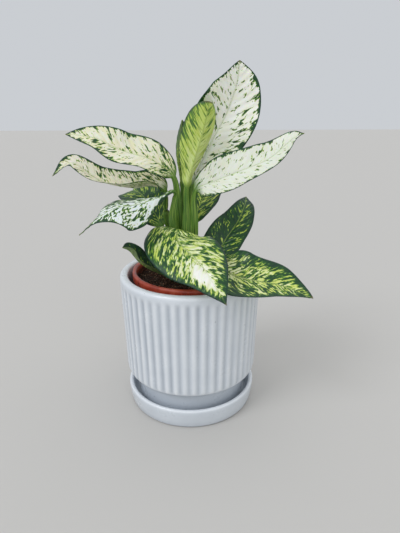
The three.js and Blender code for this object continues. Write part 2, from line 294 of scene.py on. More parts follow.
def closedLoop(points, rounds, step):
    # the same corner cutting on a profile that closes on itself
    p = np.asarray(points, float)
    for _ in range(rounds):
        n = np.roll(p, -1, 0)
        p = np.stack([p * 0.75 + n * 0.25, p * 0.25 + n * 0.75], 1).reshape(-1, 2)
    return evenly(np.vstack([p, p[:1]]), step)[:-1]


planterProfile = closedLoop(planterSize["outer"], 2, 1.25)
tall = (planterProfile[:, 0] > 60) & (planterProfile[:, 1] > 44) & (planterProfile[:, 1] < 114)
inner = (planterProfile[:, 0] < 56.8) & ((np.arange(len(planterProfile)) % 3) > 0)
keep = ~(tall & (np.arange(len(planterProfile)) % 4 > 0)) & ~(inner & (planterProfile[:, 1] > 24))
planter = turnedPiece("planter_ribbed", planterProfile[keep], planterSize["around"], glaze, planterShape)
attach(planter, "root")
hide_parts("planter")
print("planter made,", 2 * int(keep.sum()) * planterSize["around"], "triangles")


# Injection-moulded polypropylene in terracotta red: smooth and half glossy, faintly streaked where it was
# wiped, with a little dried soil inside.
potLook = {
    "plastic": "#a8402a",
    "worn": "#b85a42",
    "deep": "#7c2f22",
    "soilDust": "#3a2a22",
    "roughness": 0.33,
}


def potMaterial(look):
    material, tree = newMaterial("mouldedTerracottaPlastic")
    place = addNode(tree, "TexCoord").outputs["Object"]
    scuff = addNode(tree, "TexNoise", {"Vector": place, "Scale": 1 / (9 * mm), "Detail": 5.0,
                                       "Roughness": 0.6}).outputs["Fac"]
    tint = addNode(tree, "ValToRGB", {"Fac": scuff}, stops=[
        (0.3, hexColour(look["deep"])), (0.5, hexColour(look["plastic"])), (0.74, hexColour(look["worn"]))])
    inside = addNode(tree, "Attribute", attribute_name="soiled").outputs["Fac"]
    grit = addNode(tree, "TexNoise", {"Vector": place, "Scale": 1 / (2.2 * mm), "Detail": 4.0}).outputs["Fac"]
    dirt = addNode(tree, "Math", {0: inside, 1: grit}, operation="MULTIPLY").outputs[0]
    dirty = addNode(tree, "MapRange", {"Value": dirt, "From Min": 0.28, "From Max": 0.5}).outputs[0]
    skin = addNode(tree, "Mix", {0: dirty, 6: tint.outputs["Color"], 7: hexColour(look["soilDust"])},
                   data_type="RGBA").outputs[2]
    rough = addNode(tree, "MapRange", {"Value": scuff, "From Min": 0.3, "From Max": 0.7,
                                       "To Min": look["roughness"] - 0.07,
                                       "To Max": look["roughness"] + 0.12})
    bump = addNode(tree, "Bump", {"Height": scuff, "Strength": 0.08, "Distance": 0.3 * mm}).outputs[0]
    shader = addNode(tree, "BsdfPrincipled", {"Base Color": skin, "Roughness": rough.outputs[0], "IOR": 1.49,
                                              "Normal": bump})
    addNode(tree, "OutputMaterial", {"Surface": shader.outputs[0]})
    return material


potSize = {
    "profile": [(0, 19.6), (30, 19.6), (36.6, 19.6), (37.5, 20.6), (44, 72), (50.3, 122.2), (51.6, 123.4),
                (53.0, 123.7), (53.4, 124.6), (53.5, 129), (53.5, 131.2), (53.0, 132.3), (51.8, 132.6),
                (50.6, 132.4), (49.8, 131.4), (49.5, 129), (49.2, 122), (42.8, 72), (36.3, 21.6),
                (35.4, 20.9), (0, 20.9)],
    "around": 180,
    "drains": 5,
    "drainRadius": 3.5,
}


def potShape(r, z, angle):
    # the thin lip waves by a quarter of a millimetre, and bulges a little at the back
    share = smoothStep((z - 90) / 40)
    r = r + share * (0.22 * np.sin(3 * angle + 0.4) - 0.22)
    soiled = ((r < 50.2) & (z > 21)) * smoothStep((132.5 - z) / 7)
    return r, z, {"soiled": soiled.astype(float)}


plastic = potMaterial(potLook)
pot = turnedPiece("growing_pot_moulded", evenly(roundedProfile(potSize["profile"], 2), 1.6),
                  potSize["around"], plastic, potShape)
for i in range(potSize["drains"]):  # drain holes, drilled through the floor
    turn = 2 * np.pi * i / potSize["drains"]
    bpy.ops.mesh.primitive_cylinder_add(radius=potSize["drainRadius"] * mm, depth=6 * mm, vertices=24,
                                        location=(24 * mm * math.cos(turn), 24 * mm * math.sin(turn),
                                                  20 * mm))
    drill = bpy.context.object
    cut = pot.modifiers.new("drain", "BOOLEAN")
    cut.object, cut.operation, cut.solver = drill, "DIFFERENCE", "EXACT"
    bpy.context.view_layer.objects.active = pot
    bpy.ops.object.modifier_apply(modifier=cut.name)
    bpy.data.objects.remove(drill, do_unlink=True)
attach(pot, "root")
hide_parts("growing_pot")
print("growing pot made")


# Peat and coir: nearly black crumbs with reddish brown fibres and a few pale chips, fully matt.
soilLook = {
    "dark": "#120e0c",
    "peat": "#2a1d17",
    "coir": "#5a3a29",
    "chip": "#8d7f6c",
}


def soilMaterial(look, name, low, high):
    material, tree = newMaterial(name)
    place = addNode(tree, "TexCoord").outputs["Object"]
    crumb = addNode(tree, "TexNoise", {"Vector": place, "Scale": 1 / (1.6 * mm), "Detail": 6.0,
                                       "Roughness": 0.7}).outputs["Fac"]
    tint = addNode(tree, "ValToRGB", {"Fac": crumb}, stops=[
        (0.32, hexColour(low)), (0.52, hexColour(look["peat"])), (0.68, hexColour(high))])
    bump = addNode(tree, "Bump", {"Height": crumb, "Strength": 0.9, "Distance": 0.8 * mm}).outputs[0]
    shader = addNode(tree, "BsdfPrincipled", {"Base Color": tint.outputs["Color"], "Roughness": 0.95,
                                              "Specular IOR Level": 0.25, "Normal": bump})
    addNode(tree, "OutputMaterial", {"Surface": shader.outputs[0]})
    return material


soilSize = {
    "top": 123.4,
    "crumb": 0.9,                  # mm a crumb stands up
    "fibres": 1000,
    "crumbs": 900,
    "seed": 11,
}


def soilHeight(x, y):
    # a sum of turned sine waves, from 14 mm clods down to 2.5 mm crumbs
    z = 0.0 * x
    for size, lift, turn in ((14, 0.7, 0.3), (8, 0.5, 1.4), (5, 0.38, 2.6), (3.3, 0.3, 0.9),
                             (2.5, 0.22, 2.1)):
        c, s = np.cos(turn), np.sin(turn)
        z = z + lift * np.sin((x * c + y * s) * 2 * np.pi / size + size) * np.sin(
            (y * c - x * s) * 2 * np.pi / size)
    return soilSize["top"] + z * soilSize["crumb"]


def soilShape(r, z, angle):
    top = z > 122
    lifted = soilHeight(r * np.cos(angle), r * np.sin(angle))
    return r, np.where(top, lifted, z), {}


peat = soilMaterial(soilLook, "dampPeat", soilLook["dark"], soilLook["coir"])
soilProfile = np.vstack([[(0, 21.2), (20, 21.2), (35.9, 21.2), (42.4, 72), (48.5, 118)],
                         np.stack([np.linspace(48.9, 0, 60), np.full(60, soilSize["top"])], 1)])
soil = turnedPiece("soil_bed", soilProfile, 200, peat, soilShape)
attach(soil, "root")
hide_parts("soil")

rng = np.random.default_rng(soilSize["seed"])


def fibreMesh(name, count, material):
    # each fibre is a four-sided thread, 8 rings long, lying in a slow random curve on the crumbs
    rings = 8
    radius = 46.5 * np.sqrt(rng.random(count))
    around = rng.random(count) * 2 * np.pi
    start = np.stack([radius * np.cos(around), radius * np.sin(around)], 1)
    heading = rng.random(count) * 2 * np.pi
    bend = rng.normal(0, 0.22, count)
    length = rng.uniform(4, 15, count)
    thick = rng.uniform(0.16, 0.4, count)
    t = np.linspace(0, 1, rings)
    turn = heading[:, None] + bend[:, None] * np.arange(rings)[None]
    step = (length / (rings - 1))[:, None]
    x = start[:, :1] + np.cumsum(np.cos(turn), 1) * step
    y = start[:, 1:] + np.cumsum(np.sin(turn), 1) * step
    far = np.maximum(np.hypot(x, y) / 47.8, 1)          # kept inside the pot
    x, y = x / far, y / far
    arch = rng.uniform(0.2, 1.3, count)[:, None] * np.sin(np.pi * t)[None]
    z = soilHeight(x, y) + 0.15 + arch
    side = np.stack([-np.sin(turn), np.cos(turn), 0 * turn], -1)
    lift = np.array([0, 0, 1.0])
    width = (thick[:, None] * (1 - 0.7 * np.abs(2 * t - 1)[None]) + 0.03)[..., None]
    centre = np.stack([x, y, z], -1)
    corner = [centre + width * side, centre + width * lift, centre - width * side, centre - width * lift]
    points = np.stack(corner, 2).reshape(-1, 3)
    local = gridQuads(rings, 4)
    ends = np.array([[3, 2, 1, 0], [4 * rings - 4, 4 * rings - 3, 4 * rings - 2, 4 * rings - 1]])
    shift = (np.arange(count) * rings * 4)[:, None, None]
    return makeMesh(name, points, [(local[None] + shift).reshape(-1, 4), (ends[None] + shift).reshape(-1, 4)],
                    material)


def crumbMesh(name, count, material, small, big):
    # crumbs are six-pointed lumps with random corners, half sunk in the soil
    base = np.array([[1, 0, 0], [0, 1, 0], [-1, 0, 0], [0, -1, 0], [0, 0, 1], [0, 0, -1]], float)
    tris = np.array([[0, 1, 4], [1, 2, 4], [2, 3, 4], [3, 0, 4], [1, 0, 5], [2, 1, 5], [3, 2, 5], [0, 3, 5]])
    size = rng.uniform(small, big, count)
    radius = (47.5 - size) * np.sqrt(rng.random(count))
    around = rng.random(count) * 2 * np.pi
    x, y = radius * np.cos(around), radius * np.sin(around)
    centre = np.stack([x, y, soilHeight(x, y) + size * 0.25], 1)
    spin = rng.random(count) * 2 * np.pi
    c, s = np.cos(spin), np.sin(spin)
    lump = base[None] * size[:, None, None] * rng.uniform(0.55, 1.15, (count, 6, 1))
    lump = np.stack([lump[..., 0] * c[:, None] - lump[..., 1] * s[:, None],
                     lump[..., 0] * s[:, None] + lump[..., 1] * c[:, None], lump[..., 2] * 0.7], -1)
    points = (centre[:, None] + lump).reshape(-1, 3)
    faces = (tris[None] + (np.arange(count) * 6)[:, None, None]).reshape(-1, 3)
    return makeMesh(name, points, [faces], material, flat=True)


coir = soilMaterial(soilLook, "coirFibre", "#5a3020", "#b98d6c")
crumbs = soilMaterial(soilLook, "peatCrumb", soilLook["dark"], soilLook["chip"])
for litter in (fibreMesh("soil_fibres", soilSize["fibres"], coir),
               crumbMesh("soil_crumbs", soilSize["crumbs"], crumbs, 0.5, 1.7)):
    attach(litter, "root")
print("soil made")


# Living leaf: a thin waxy skin over green and white tissue, satin, glossier on the upper side, lit
# through a little. Colour lies in flecks drawn out along the side veins, crowding to the margin.
leafTones = {
    "white": "#f4f5ec",
    "cream": "#e6e6a8",
    "lime": "#bcc84e",
    "bright": "#7ea534",
    "green": "#47762c",
    "deep": "#1f4a22",
    "darkest": "#173829",
    "stalkPale": "#96b04e",
    "stalk": "#4c7a24",
    "stalkDark": "#213f12",
    "under": "#8fa55c",
}

leaves = [
    {"name": "leaf_top", "neck": 3, "width": 54, "shape": (0.78, 0.87),
     "spine": [(2, 5, 126), (2, 5, 150), (1, 6, 178), (2, 6, 207), (16, 7, 238), (31, 4, 266),
               (39, -1, 289), (41, -5, 307)],
     "face": [(0.25, -1, 0.15)], "fold": [(16, 8), (16, 8)], "cup": [(20, 8), (20, 8)], "twist": (3, 8, -2),
     "wave": (1.0, 3.2, 0.2), "slot": "leaf_pale", "green": -0.03, "edge": 2.6, "fleck": (1.15, 3.4),
     "cream": (0.0, 0.35), "soft": 0.035,
     "patches": [(-0.9, 0.35, 0.5, 0.25, 0.12), (0.9, 0.3, 0.35, 0.3, 0.08)],
     "pale": ("#fafbf4", "#eef0c8"), "seed": 1},
    {"name": "leaf_unfurling", "neck": 3, "sheath": 1.1, "spotty": 0.12, "duller": 0.15, "width": 38,
     "shape": (0.9, 0.56),
     "spine": [(-3, -8, 126), (-3, -8, 150), (-2, -7, 178), (-2, -6, 207), (4, -9, 230), (11, -13, 252),
               (17, -17, 277)],
     "face": [(-0.3, 0.9, 0.2)], "fold": [(15, 10), (15, 10)], "cup": [(75, 50), (75, 50)],
     "twist": (0, 0, 0),
     "wave": (0.6, 2.0, 0.0), "slot": "leaf_mottled", "green": -0.03, "edge": 3.0, "fleck": (1.1, 8),
     "cream": (0.6, 1.0), "soft": 0.12,
     "pale": ("#eef2cc", "#c8da70"), "patches": [(0.0, 1.0, 2.0, 0.3, 0.12), (0.7, 0.6, 0.35, 0.5, 0.12)],
     "seed": 2},
    {"name": "leaf_rolled", "neck": 3, "spotty": 0.12, "duller": 0.15, "width": 26, "shape": (0.9, 0.9),
     "spine": [(-4, 8, 126), (-4, 8, 150), (-5, 7, 178), (-6, 6, 206), (-9, 4, 235), (-5, 2, 263)],
     "face": [(0.5, 0.9, 0.1)], "fold": [(30, 20), (30, 20)], "cup": [(90, 50), (90, 50)], "twist": (0, 0, 0),
     "wave": (0.3, 2.0, 0.0), "slot": "leaf_mottled", "green": 0.16, "edge": 4.0, "fleck": (1.1, 8),
     "cream": (0.6, 1.0), "soft": 0.09,
     "pale": ("#cfd98c", "#a9c04c"), "patches": [(0.0, 1.0, 2.0, 0.3, 0.6)], "seed": 3},
    {"name": "leaf_right_long", "neck": 3, "width": 35, "shape": (0.64, 1.2),
     "spine": [(3, -4, 126), (3, -4, 150), (4, -6, 180), (6, -7, 205), (22, -16, 215), (42, -22, 224),
               (64, -27, 234), (81, -29, 249), (89, -33, 254)],
     "face": [(-0.35, -0.75, 0.6)], "fold": [(18, 14), (18, 14)], "cup": [(15, 10), (15, 10)],
     "twist": (-17, -1, 17), "wave": (0.8, 3.0, 0.4), "slot": "leaf_pale", "green": -0.05, "edge": 2.0,
     "fleck": (1, 3.2), "cream": (0.0, 0.3), "soft": 0.035,
     # this leaf's white tissue is painted greyer than the other leaves' white: painted shade
     "pale": ("#e6e9de", "#e2e5b8"), "seed": 4},
    {"name": "leaf_left_upper", "neck": 3, "sheath": 0.9, "width": 34, "shape": (0.66, 0.97),
     "spine": [(-9, 1, 126), (-9, 0, 155), (-10, -3, 190), (-13, -6, 217), (-30, -12, 232), (-53, -18, 240),
               (-74, -20, 250), (-97, -20, 253)],
     "face": [(-0.1, -0.75, 0.6)], "fold": [(10, 8), (10, 8)], "cup": [(20, 10), (20, 10)],
     "twist": (1, -9, 0),
     "wave": (0.8, 3.0, 0.1), "slot": "leaf_pale", "green": -0.03, "edge": 1.8, "fleck": (1.1, 3.6),
     "cream": (0.3, 1.0), "soft": 0.04,
     "pale": ("#eceee2", "#eae6c2"), "patches": [(0.0, 0.08, 1.0, 0.16, 0.16), (-0.8, 0.8, 0.5, 0.3, 0.14)],
     "seed": 5},
    {"name": "leaf_left_folded", "neck": 3, "sheath": 1.1, "width": 28, "shape": (0.6, 0.96),
     "spine": [(-12, 7, 126), (-13, 6, 150), (-21, 4, 182), (-21, 2, 204), (-33, 4, 209), (-51, 5, 207),
               (-77, 3, 213), (-100, 1, 228), (-117, -3, 218)],
     "face": [(0, -0.1, 1), (-0.1, -0.5, 0.8), (-0.4, -0.9, 0.3)], "fold": [(45, 20), (45, 20)],
     "cup": [(30, 10), (30, 10)], "twist": (24, -8, -13), "wave": (0.8, 3.0, 0.3), "slot": "leaf_pale",
     "green": -0.01, "edge": 1.8, "fleck": (0.9, 3.2), "cream": (0.3, 0.8), "soft": 0.04,
     "pale": ("#f6f4ea", "#f0e8cc"), "patches": [(-0.8, 0.15, 0.6, 0.25, 0.12), (0.8, 0.2, 0.5, 0.3, 0.08)],
     "seed": 6},
    {"name": "leaf_left_drooping", "neck": 3, "spotty": 0.5, "sheath": 1.0, "width": 42, "shape": (4, 3.8),
     "tail": 2.6,
     "spine": [(-9, -6, 126), (-10, -7, 150), (-14, -9, 180), (-12, -12, 205), (-25, -24, 203),
               (-41, -36, 200),
               (-57, -45, 199), (-70, -53, 192), (-83, -59, 181)],
     "face": [(0.1, -0.4, 1), (0.15, -0.3, 1), (-0.5, -0.7, 0.6)], "fold": [(-22, -8), (-8, -5)],
     "cup": [(-62, -20), (-30, -10)], "twist": (-6, 0, -40), "wave": (0.8, 2.6, 0.0), "slot": "leaf_pale",
     "green": 0.07, "edge": 2.4, "fleck": (1.1, 3), "cream": (0.0, 0.3), "soft": 0.035,
     "pale": ("#e4ecec", "#e9edd0"), "patches": [(0.9, 0.5, 0.5, 0.5, 0.1)], "seed": 7},
    {"name": "leaf_front_cascading", "neck": 2, "width": 58, "shape": (0.45, 1.1),
     "spine": [(-7, -13, 125), (-8, -14, 150), (-10, -17, 173), (-9, -34, 168), (8, -55, 157), (19, -71, 147),
               (29, -85, 134)],
     "face": [(0, -0.7, 1), (0.1, -0.9, 0.5)], "fold": [(8, 12), (8, 12)], "cup": [(-40, -25), (-40, -25)],
     "twist": (6, 5, 7), "wave": (1.2, 2.6, 0.1), "slot": "leaf_mottled", "green": 0.17, "edge": 3.4,
     "fleck": (1.15, 3.8), "cream": (0.55, 1.2), "soft": 0.065,
     "pale": ("#f4f5e8", "#c9d86a"), "rib": 0.1,
     "patches": [(0.28, 0.62, 0.3, 0.16, -0.3), (0.1, 0.75, 0.3, 0.12, -0.2),
                 (-0.3, 0.4, 0.35, 0.2, -0.08)], "seed": 8},
    {"name": "leaf_back_left", "neck": 2, "sheath": 0.0, "width": 40, "shape": (0.6, 0.6),
     "spine": [(-17, 3, 126), (-19, 5, 148), (-26, 9, 170), (-34, 14, 184), (-44, 23, 196), (-54, 35, 199),
               (-60, 47, 191)],
     "face": [(-0.2, -0.8, 0.6), (-0.5, 0, 0.9), (-0.8, 0.5, 0.4)], "fold": [(10, 8), (10, 8)],
     "cup": [(20, 10), (20, 10)], "twist": (0, 0, 0), "wave": (1.0, 2.5, 0.2), "slot": "leaf_dark",
     "green": 0.24, "edge": 3.0, "fleck": (1.1, 4), "cream": (0.8, 1.0), "soft": 0.06,
     "pale": ("#d8dd8c", "#b4c055"), "seed": 9},
    {"name": "leaf_right_dark", "neck": 1, "width": 39, "shape": (0.5, 1.0),
     "spine": [(9, 2, 126), (14, 3, 140), (25, 5, 146), (35, 12, 159), (45, 19, 172), (52, 31, 184),
               (55, 47, 190)],
     "face": [(-0.5, -0.6, 0.7), (0, -0.5, 0.9), (0.4, 0.2, 0.9)], "fold": [(10, 8), (10, 8)],
     "cup": [(20, 10), (20, 10)], "twist": (-16, -4, 4), "wave": (0.8, 2.5, 0.0), "slot": "leaf_dark",
     "green": 0.27, "edge": 3.2, "fleck": (1.2, 3.4), "cream": (0.8, 1.0), "soft": 0.05,
     "pale": ("#dfe39a", "#bccb58"), "seed": 10},
    {"name": "leaf_right_low", "neck": 1, "width": 51, "shape": (0.62, 0.81),
     "spine": [(10, -11, 125), (14, -14, 137), (25, -26, 140), (45, -39, 137), (75, -47, 134),
               (101, -57, 127)],
     "face": [(0.1, -0.48, 0.88)], "fold": [(8, 8), (8, 8)], "cup": [(15, 15), (15, 15)],
     "twist": (4, -6, 14),
     "wave": (1.2, 2.6, 0.3), "slot": "leaf_mottled", "green": 0.16, "edge": 3.2, "fleck": (1.25, 4.4),
     "cream": (0.3, 1.1), "soft": 0.055,
     "pale": ("#eef0cc", "#d2dc74"), "rib": 0.3,
     "patches": [(0.0, 0.25, 0.5, 0.2, -0.1), (0.8, 0.5, 0.3, 0.6, 0.08), (-0.8, 0.5, 0.3, 0.6, 0.08)],
     "seed": 11},
    {"name": "leaf_left_small", "neck": 1, "sheath": 0.0, "width": 19, "shape": (0.61, 0.78),
     "spine": [(-12, -8, 125), (-19, -12, 129), (-40, -22, 144), (-50, -27, 158), (-56, -30, 162)],
     "face": [(-0.2, -0.3, 1), (-0.3, -0.3, 1)], "fold": [(35, 30), (35, 30)], "cup": [(20, 10), (20, 10)],
     "twist": (12, 4, -6), "wave": (0.4, 2.0, 0.0), "slot": "leaf_dark", "green": 0.3, "edge": 2.5,
     "fleck": (0.9, 3.5), "cream": (0.8, 1.0), "soft": 0.05,
     "pale": ("#cfd98c", "#a9c04c"), "seed": 12},
    {"name": "leaf_back_right", "neck": 2, "width": 36, "shape": (0.75, 0.9),
     "spine": [(3, 11, 126), (3, 11, 150), (4, 14, 172), (9, 24, 186), (19, 36, 198), (32, 50, 203)],
     "face": [(-0.2, -0.9, 0.5), (-0.2, -0.3, 1)], "fold": [(10, 8), (10, 8)], "cup": [(20, 10), (20, 10)],
     "twist": (0, 0, 0), "wave": (0.8, 2.5, 0.2), "slot": "leaf_dark", "green": 0.19, "edge": 3.0,
     "fleck": (1.2, 3.6), "cream": (0.8, 1.0), "soft": 0.06,
     "pale": ("#dfe39a", "#bccb58"), "seed": 13},
]

leafBuild = {
    "stalkRings": 34,
    "bladeRings": 116,
    "across": 45,
    "stalkRadius": 2.35,
    "sheath": 0.75,                # how much wider than thick the winged stalk is low down
    "blade": 0.24,                 # half thickness of the blade, mm
    "midrib": 1.05,                # how far the midrib stands out below, mm
    "veinGap": 6.5,                # mm between side veins along the midrib
}


def stopValues(stops, t):
    stops = np.asarray(stops, float)
    if stops.ndim == 1:
        return np.interp(t, np.linspace(0, 1, len(stops)), stops) if len(stops) > 1 else stops[0] + 0 * t
    return np.stack([stopValues(stops[:, k], t) for k in range(stops.shape[1])], -1)


def leafSurface(plan):
    # A loft of flat loops along the spine, u = 0 at the soil and 1 at the tip, t from 0 to 1 on the
    # blade, s from -1 to 1 across. Half width: the stalk's radius, wider low down where it has a
    # sheath, then W/2 t^p (1-t)^q scaled to its peak, with tail min(1, 3t) sqrt(1-t) added on a leaf
    # whose tip stays broad. Across, the sheet leaves the midrib at the fold angle and turns through
    # the cup angle:
    # x = (w/c)(sin(a + c s) - sin a), z = (w/c)(cos a - cos(a + c s)).
    build = leafBuild
    n = len(plan["spine"]) - 1
    neck = plan["neck"] / n
    u = np.r_[np.linspace(0, neck, build["stalkRings"], endpoint=False),
              neck + (1 - neck) * np.linspace(0, 1, build["bladeRings"]) ** 0.96]
    t = np.clip((u - neck) / (1 - neck), 0, 1)
    down = np.clip(1 - u / neck, 0, 1)                  # 1 at the soil, 0 at the neck
    centre = catmull(plan["spine"], u)
    tangent = catmull(plan["spine"], np.clip(u + 1e-3, 0, 1)) - catmull(plan["spine"],
                                                                        np.clip(u - 1e-3, 0, 1))
    tangent /= np.linalg.norm(tangent, axis=1)[:, None]
    face = stopValues(plan["face"], t)
    normal = face - (face * tangent).sum(1)[:, None] * tangent
    normal /= np.linalg.norm(normal, axis=1)[:, None]
    side = np.cross(tangent, normal)
    twist = np.radians(stopValues(plan["twist"], t))[:, None]
    side, normal = (side * np.cos(twist) + normal * np.sin(twist),
                    normal * np.cos(twist) - side * np.sin(twist))
    run = np.r_[0, np.cumsum(np.linalg.norm(np.diff(centre, axis=0), axis=1))]
    along = run - run[build["stalkRings"]]              # mm from the neck

    p, q = plan["shape"]
    peak = p / (p + q)
    outline = t ** p * (1 - t) ** q / (peak ** p * (1 - peak) ** q)
    stalk = build["stalkRadius"] * (0.8 + 0.35 * down)
    sheath = stalk * (1.15 + plan.get("sheath", build["sheath"]) * smoothStep(down * 2.2))
    half = np.hypot(sheath * np.clip(1 - 3.2 * t, 0, 1), plan["width"] / 2 * outline) + 0.12
    half = half + plan.get("tail", 0) * np.clip(3 * t, 0, 1) * np.sqrt(1 - t)
    blade = smoothStep(t * 7)

    s = np.linspace(-1, 1, build["across"])[None]
    reach = np.abs(s)
    left = s < 0
    fold = np.where(left, stopValues(plan["fold"][0], t)[:, None], stopValues(plan["fold"][1], t)[:, None])
    cup = np.where(left, stopValues(plan["cup"][0], t)[:, None], stopValues(plan["cup"][1], t)[:, None])
    a = np.radians(fold) * blade[:, None]
    c = np.radians(cup) * blade[:, None]
    c = np.where(np.abs(c) < 1e-3, 1e-3, c)
    w = half[:, None]
    x = w / c * (np.sin(a + c * reach) - np.sin(a))
    z = w / c * (np.cos(a) - np.cos(a + c * reach))
    across = w * reach                                  # mm from the midrib along the sheet
    # how far forward the side veins lean
    sweep = 1.7 - 1.0 * smoothStep(t * 2.2)[:, None] + 0.45 * t[:, None]
    start = along[:, None] - across * sweep             # where on the midrib this point's vein starts
    depth = across * np.sqrt(1 + sweep ** 2)            # mm out along that vein

    lift, count, phase = plan["wave"]
    sway = np.where(left, 0.0, 0.37)
    margin = w / max(half.max(), 1)
    z = z + blade[:, None] * margin * lift * reach ** 3 * np.sin(2 * np.pi * (count * t[:,
                                                                                        None] + phase + sway))
    seed = plan["seed"]
    z = z + blade[:, None] * margin * 0.7 * reach * np.sin(
        along[:, None] * 0.16 + seed) * np.cos(across * 0.21 + seed)
    vein = np.cos(2 * np.pi * start / build["veinGap"])
    z = z + 0.22 * blade[:, None] * vein * smoothStep(reach * 5) * smoothStep((1 - reach) * 6)
    z = z - 0.55 * blade[:, None] * (1 - 0.7 * t[:, None]) * np.exp(-(across / 1.1) ** 2)

    bend = a + c * reach
    up = np.cos(bend)[..., None] * normal[:, None] - (np.sign(s) * np.sin(bend))[..., None] * side[:, None]
    sheet = centre[:, None] + (np.sign(s) * x)[..., None] * side[:, None] + z[..., None] * normal[:, None]

    rim = np.sqrt(np.clip(1 - reach ** 8, 0, 1)) + 0 * w
    round01 = np.sqrt(np.clip(1 - reach ** 2, 0, 1)) + 0 * w
    tube = (stalk * (0.78 - 0.18 * down))[:, None] * round01
    rib = build["midrib"] * (1 - t[:, None]) ** 0.8 * np.exp(-(across / 1.5) ** 2)
    fade = smoothStep(t * 6)[:, None]
    top = tube * (1 - fade) + build["blade"] * rim * fade
    under = tube * (1 - fade) + (build["blade"] * rim + rib) * fade
    above = sheet + top[..., None] * up
    below = sheet - under[..., None] * up
    loops = np.concatenate([above, below[:, -2:0:-1]], 1)

    def both(value, underValue=None):
        value = value + 0 * w + 0 * s
        other = value if underValue is None else underValue + 0 * w + 0 * s
        return np.concatenate([value, other[:, -2:0:-1]], 1)

    sideSign = np.where(s < 0, -1.0, 1.0)
    veins = np.stack([both(start), both(depth), both(sideSign * 20 + seed * 137.0)], -1)
    place = np.stack([both(w * (1 - reach)), both(across), both(t[:, None])], -1)
    blotch = 0 * w + 0 * s         # wide patches with more or less green
    for s0, t0, wideS, wideT, amount in plan.get("patches", []):
        blotch = blotch + amount * np.exp(-((s - s0) / wideS) ** 2 - ((t[:, None] - t0) / wideT) ** 2)
    zone = np.stack([both(0 * s, 1 + 0 * s), both(1 - smoothStep(t * 9)[:, None]), both(blotch)], -1)
    return loops, veins, place, zone


